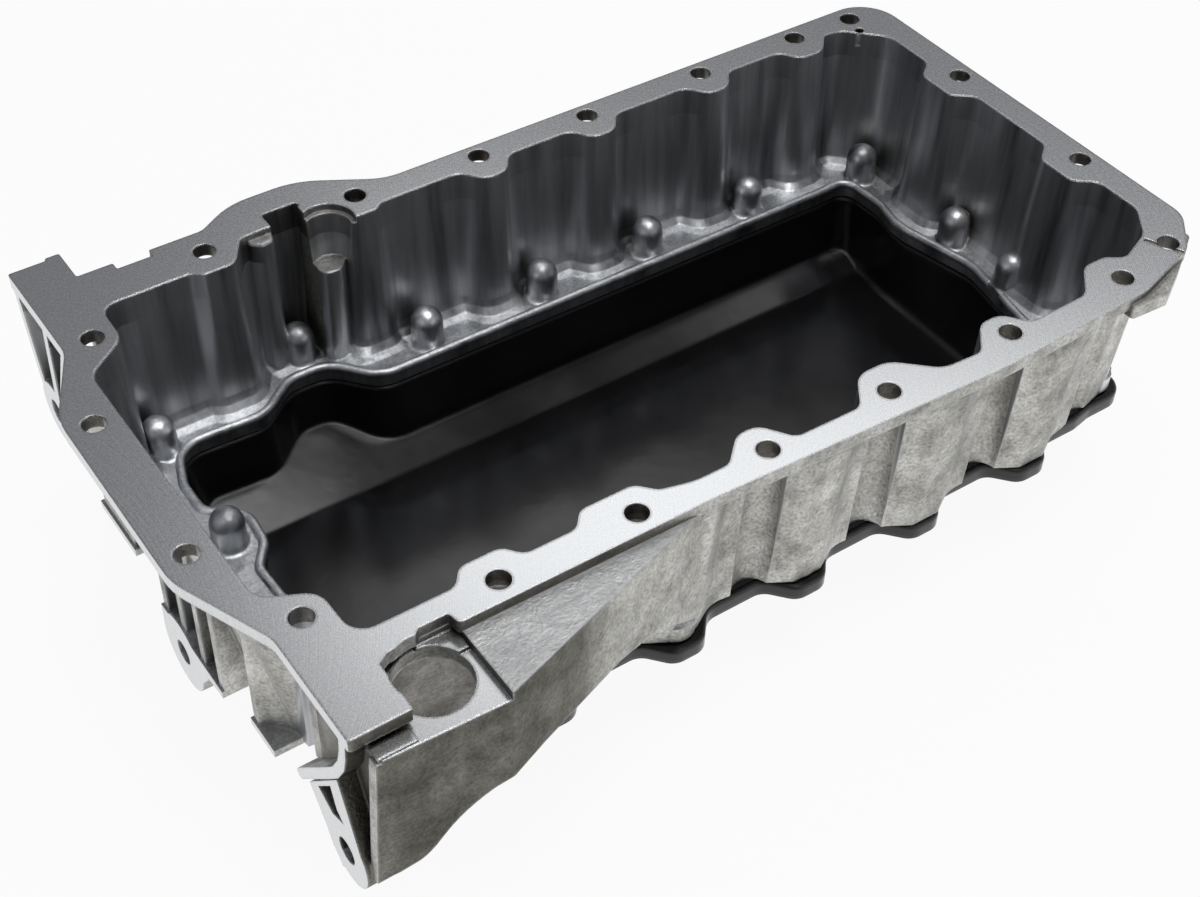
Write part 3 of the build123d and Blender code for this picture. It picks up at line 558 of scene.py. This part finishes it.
# %% The tree that puts the bolts in place
bolt_seed = 7
group, given = new_geometry_tree("bolts_on_points", [
    ("Places", "NodeSocketGeometry"), ("Bolt", "NodeSocketObject"), ("Seed", "NodeSocketInt")])
pattern = add(group, "GeometryNodeObjectInfo", {"Object": given["Bolt"]}).outputs["Geometry"]
spin = add(group, "FunctionNodeRandomValue", {
    "Min": (0, 0, 0), "Max": (0, 0, math.pi / 3), "Seed": given["Seed"]},
    data_type="FLOAT_VECTOR")
copies = add(group, "GeometryNodeInstanceOnPoints", {
    "Points": given["Places"], "Instance": pattern, "Rotation": spin})
plain = add(group, "GeometryNodeRealizeInstances", {"Geometry": copies})
skinned = add(group, "GeometryNodeSetMaterial", {"Geometry": plain, "Material": zinc})
add(group, "NodeGroupOutput", {"Geometry": skinned})
grow("flange_bolts", group, bolt_points, {"Bolt": bolt, "Seed": bolt_seed},
     bolt_names)
bpy.data.objects.remove(bolt)

# %% [markdown]
# ### The cast lip round the mouth
# Where the ledge ends at the bowl's mouth, the die leaves a rounded lip that catches the light.
# Its path could be drawn point by point, but it is already in the casting: the sharp outward
# edges at the height of the ledge. The tree picks them by angle and place, joins them to curves,
# drops crumbs under 12 mm and sweeps a small circle along them.

# %% The tree that finds the edge and sweeps the lip
weld_mm, crumb_mm, lip_radius_mm, sharp_angle, lip_sides = 0.01, 12.0, 2.0, 0.9, 14
group, given = new_geometry_tree("lip_on_edge", [
    ("Empty", "NodeSocketGeometry"), ("Casting", "NodeSocketObject"),
    ("Lip Radius", "NodeSocketFloat")])
cast_shape = add(group, "GeometryNodeObjectInfo", {"Object": given["Casting"]})
joined = add(group, "GeometryNodeMergeByDistance", {
    "Geometry": cast_shape.outputs["Geometry"], "Distance": weld_mm * MM})
here = add(group, "GeometryNodeInputPosition")
at_mouth = in_box(group, here, (-0.1715, -0.0905, -0.0703), (0.1885, 0.0955, -0.0697))
fold = add(group, "GeometryNodeInputMeshEdgeAngle").outputs["Signed Angle"]
outward = add(group, MATH, {0: fold, 1: sharp_angle}, operation="GREATER_THAN")
on_lip = add(group, MATH, {0: at_mouth, 1: outward}, operation="MULTIPLY")
edges = add(group, "GeometryNodeMeshToCurve", {"Mesh": joined, "Selection": on_lip})
run = add(group, "GeometryNodeSplineLength").outputs["Length"]
long_enough = add(group, MATH, {0: run, 1: crumb_mm * MM}, operation="GREATER_THAN")
path = add(group, "GeometryNodeSeparateGeometry", {"Geometry": edges, "Selection": long_enough},
           domain="CURVE")
section = add(group, "GeometryNodeCurvePrimitiveCircle", {
    "Resolution": lip_sides, "Radius": given["Lip Radius"]})
swept = add(group, "GeometryNodeCurveToMesh", {
    "Curve": path, "Profile Curve": section, "Fill Caps": True})
soft = add(group, "GeometryNodeSetShadeSmooth", {"Geometry": swept})
plain = add(group, "GeometryNodeRealizeInstances", {"Geometry": soft})
skinned = add(group, "GeometryNodeSetMaterial", {"Geometry": plain, "Material": casting})
add(group, "NodeGroupOutput", {"Geometry": skinned})
lip = grow("cast_lip", group, bpy.data.meshes.new("lip_start"),
           {"Casting": nodes["upper_casting"], "Lip Radius": lip_radius_mm * MM})
lip_box = [[pick(v.co[i] for v in lip.data.vertices) for i in range(3)] for pick in (min, max)]
print("lip reaches, in mm:", in_mm(lip_box))

# %% [markdown]
# ## Floor
# The photograph's background is white. The floor is white too, and its own light is mixed in
# only for rays from the camera and from reflections, so that metal shows a white floor while the
# lamps alone light the pan, and its shadow stays.

# %% Floor
floor_z, floor_reach, floor_glow = cad_box[0][2], 6.0, 0.93
floor_mesh = bpy.data.meshes.new("floor")
floor_mesh.from_pydata([(x * floor_reach, y * floor_reach, floor_z)
                        for x, y in ((-1, -1), (1, -1), (1, 1), (-1, 1))], [], [(0, 1, 2, 3)])
floor = bpy.data.objects.new("floor", floor_mesh)
bpy.context.collection.objects.link(floor)
paper, tree = new_material("white_paper_floor")
ray = add(tree, "ShaderNodeLightPath").outputs
seen = add(tree, MATH, {0: ray["Is Camera Ray"], 1: ray["Is Glossy Ray"]}, operation="MAXIMUM")
through = add(tree, MATH, {0: seen, 1: ray["Is Transmission Ray"]}, operation="MAXIMUM")
share = add(tree, MATH, {0: through, 1: floor_glow}, operation="MULTIPLY")
matt = add(tree, "ShaderNodeBsdfDiffuse", {"Color": linear("#F4F4F4")})
glow = add(tree, "ShaderNodeEmission", {"Color": linear("#FFFFFF"), "Strength": 1.0})
mixed = add(tree, "ShaderNodeMixShader", {0: share, 1: matt, 2: glow})
add(tree, "ShaderNodeOutputMaterial", {"Surface": mixed})
floor_mesh.materials.append(paper)
print("floor at", round(floor_z / MM, 1), "mm")

# %% [markdown]
# ## Light
# Metal looks like what it mirrors, so the lamps are large and soft and stand where the flange and
# the walls can mirror them. Small lamps would leave hard spots instead. The near flange mirrors
# the high softbox, the overhead one lights the pan from above, the front one its long near wall,
# and the left one the gearbox end. A grey studio fills the rest, and gives the dark parts their
# depth.

# %% Lamps and studio
studio_grey = (0.21, 0.21, 0.22, 1.0)
for name, place, target, size, watts in (
    ("high_softbox", (0.72, 0.58, 1.10), (0.05, -0.1, 0), (1.15, 0.45), 2.4),
    ("overhead_softbox", (0.1, -0.2, 1.5), (0, 0, 0), (0.8, 0.8), 10.8),
    ("front_softbox", (0.85, -1.4, 0.35), (0.08, 0, -0.05), (2.4, 0.5), 5.4),
    ("left_softbox", (-1.6, -0.2, 0.45), (0, 0, -0.05), (1.2, 0.5), 2.5),
):
    lamp_data = bpy.data.lights.new(name, "AREA")
    lamp_data.shape = "RECTANGLE"
    lamp_data.size, lamp_data.size_y = size
    lamp_data.energy = watts
    lamp = bpy.data.objects.new(name, lamp_data)
    bpy.context.collection.objects.link(lamp)
    lamp.location = place
    aim = Vector(target) - Vector(place)
    lamp.rotation_euler = aim.to_track_quat("-Z", "Y").to_euler()
    print(name, "at", place, "with", watts, "W")

world = bpy.data.worlds.new("grey_studio")
bpy.context.scene.world = world
world.use_nodes = True
tree = world.node_tree
tree.nodes.clear()
studio = add(tree, "ShaderNodeBackground", {"Color": studio_grey, "Strength": 1.0})
add(tree, "ShaderNodeOutputWorld", {"Surface": studio})
bpy.context.scene.view_settings.view_transform = "Standard"
